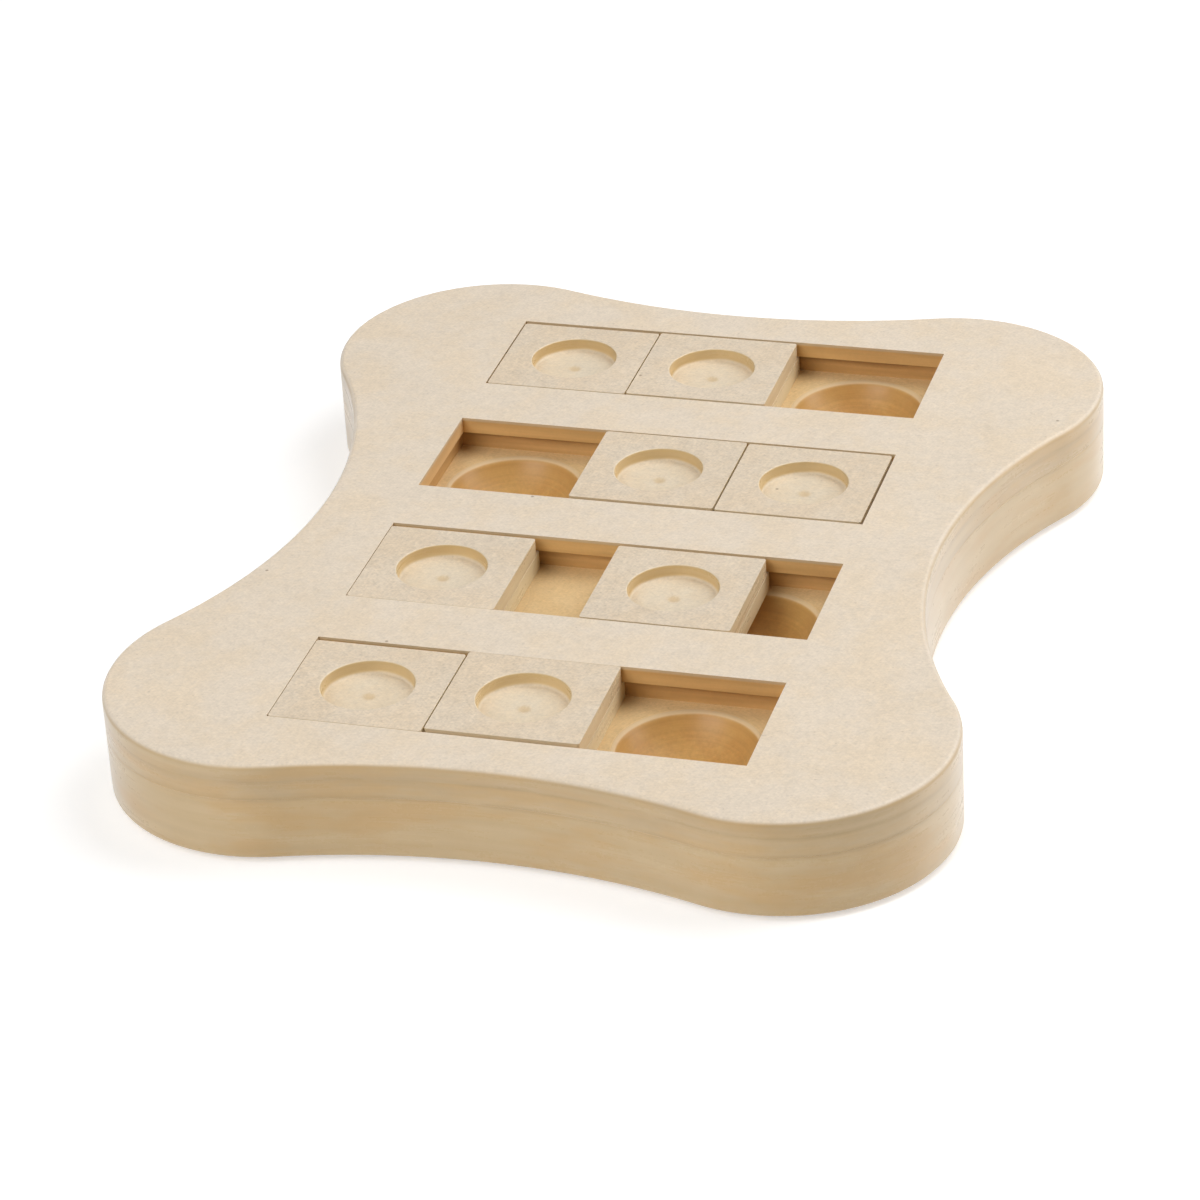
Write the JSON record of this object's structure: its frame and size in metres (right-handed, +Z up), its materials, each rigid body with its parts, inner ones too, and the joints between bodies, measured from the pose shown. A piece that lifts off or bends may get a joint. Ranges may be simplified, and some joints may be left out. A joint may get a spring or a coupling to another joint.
{
  "type": "dog puzzle feeder",
  "caption": "Bone-shaped wooden board with four slots, treat bowls below and captive sliding tiles with finger recesses that cover them.",
  "frame": {"origin": "middle of the footprint, on the surface under the rubber feet", "axes": "+X along the slots, in the direction that the tiles slide; +Y across the rows, from the front row to the back row; +Z up"},
  "size_m": [0.246, 0.306, 0.0315],
  "materials": {
    "board_face": "sanded and sealed fibreboard face, pale beige, satin",
    "board_core": "sealed fibreboard core, warm tan, satin",
    "board_base": "sanded fibreboard, golden tan, satin",
    "tile_face": "sanded and sealed fibreboard face, pale beige, satin",
    "tile_core": "sanded fibreboard, golden tan, matte",
    "foot_rubber": "matte black soft rubber"
  },
  "bodies": {
    "board": {"base_plate": "board_base", "guide_plate": "board_core", "top_plate": "board_face", "back_left_foot": "foot_rubber", "back_right_foot": "foot_rubber", "front_left_foot": "foot_rubber", "front_right_foot": "foot_rubber"},
    "row1_left_tile": {"row1_left_slider": "tile_core", "row1_left_cap": "tile_face"},
    "row1_right_tile": {"row1_right_slider": "tile_core", "row1_right_cap": "tile_face"},
    "row2_left_tile": {"row2_left_slider": "tile_core", "row2_left_cap": "tile_face"},
    "row2_right_tile": {"row2_right_slider": "tile_core", "row2_right_cap": "tile_face"},
    "row3_left_tile": {"row3_left_slider": "tile_core", "row3_left_cap": "tile_face"},
    "row3_right_tile": {"row3_right_slider": "tile_core", "row3_right_cap": "tile_face"},
    "row4_left_tile": {"row4_left_slider": "tile_core", "row4_left_cap": "tile_face"},
    "row4_right_tile": {"row4_right_slider": "tile_core", "row4_right_cap": "tile_face"}
  },
  "joints": [
    {"name": "row1_left_slide", "type": "slide", "parent": "board", "child": "row1_left_tile", "axis": [1, 0, 0], "range_m": [-0.00029, 0.04731]},
    {"name": "row1_right_slide", "type": "slide", "parent": "row1_left_tile", "child": "row1_right_tile", "axis": [-1, 0, 0], "range_m": [-0.04731, 0]},
    {"name": "row2_left_slide", "type": "slide", "parent": "row2_right_tile", "child": "row2_left_tile", "axis": [-1, 0, 0], "range_m": [-0.00021, 0.04674]},
    {"name": "row2_right_slide", "type": "slide", "parent": "board", "child": "row2_right_tile", "axis": [1, 0, 0], "range_m": [-0.04674, 0.00064]},
    {"name": "row3_left_slide", "type": "slide", "parent": "board", "child": "row3_left_tile", "axis": [1, 0, 0], "range_m": [0, 0.02504]},
    {"name": "row3_right_slide", "type": "slide", "parent": "board", "child": "row3_right_tile", "axis": [1, 0, 0], "range_m": [-0.02504, 0.02256]},
    {"name": "row4_left_slide", "type": "slide", "parent": "board", "child": "row4_left_tile", "axis": [1, 0, 0], "range_m": [0, 0.0476]},
    {"name": "row4_right_slide", "type": "slide", "parent": "row4_left_tile", "child": "row4_right_tile", "axis": [-1, 0, 0], "range_m": [-0.0476, 0]}
  ]
}
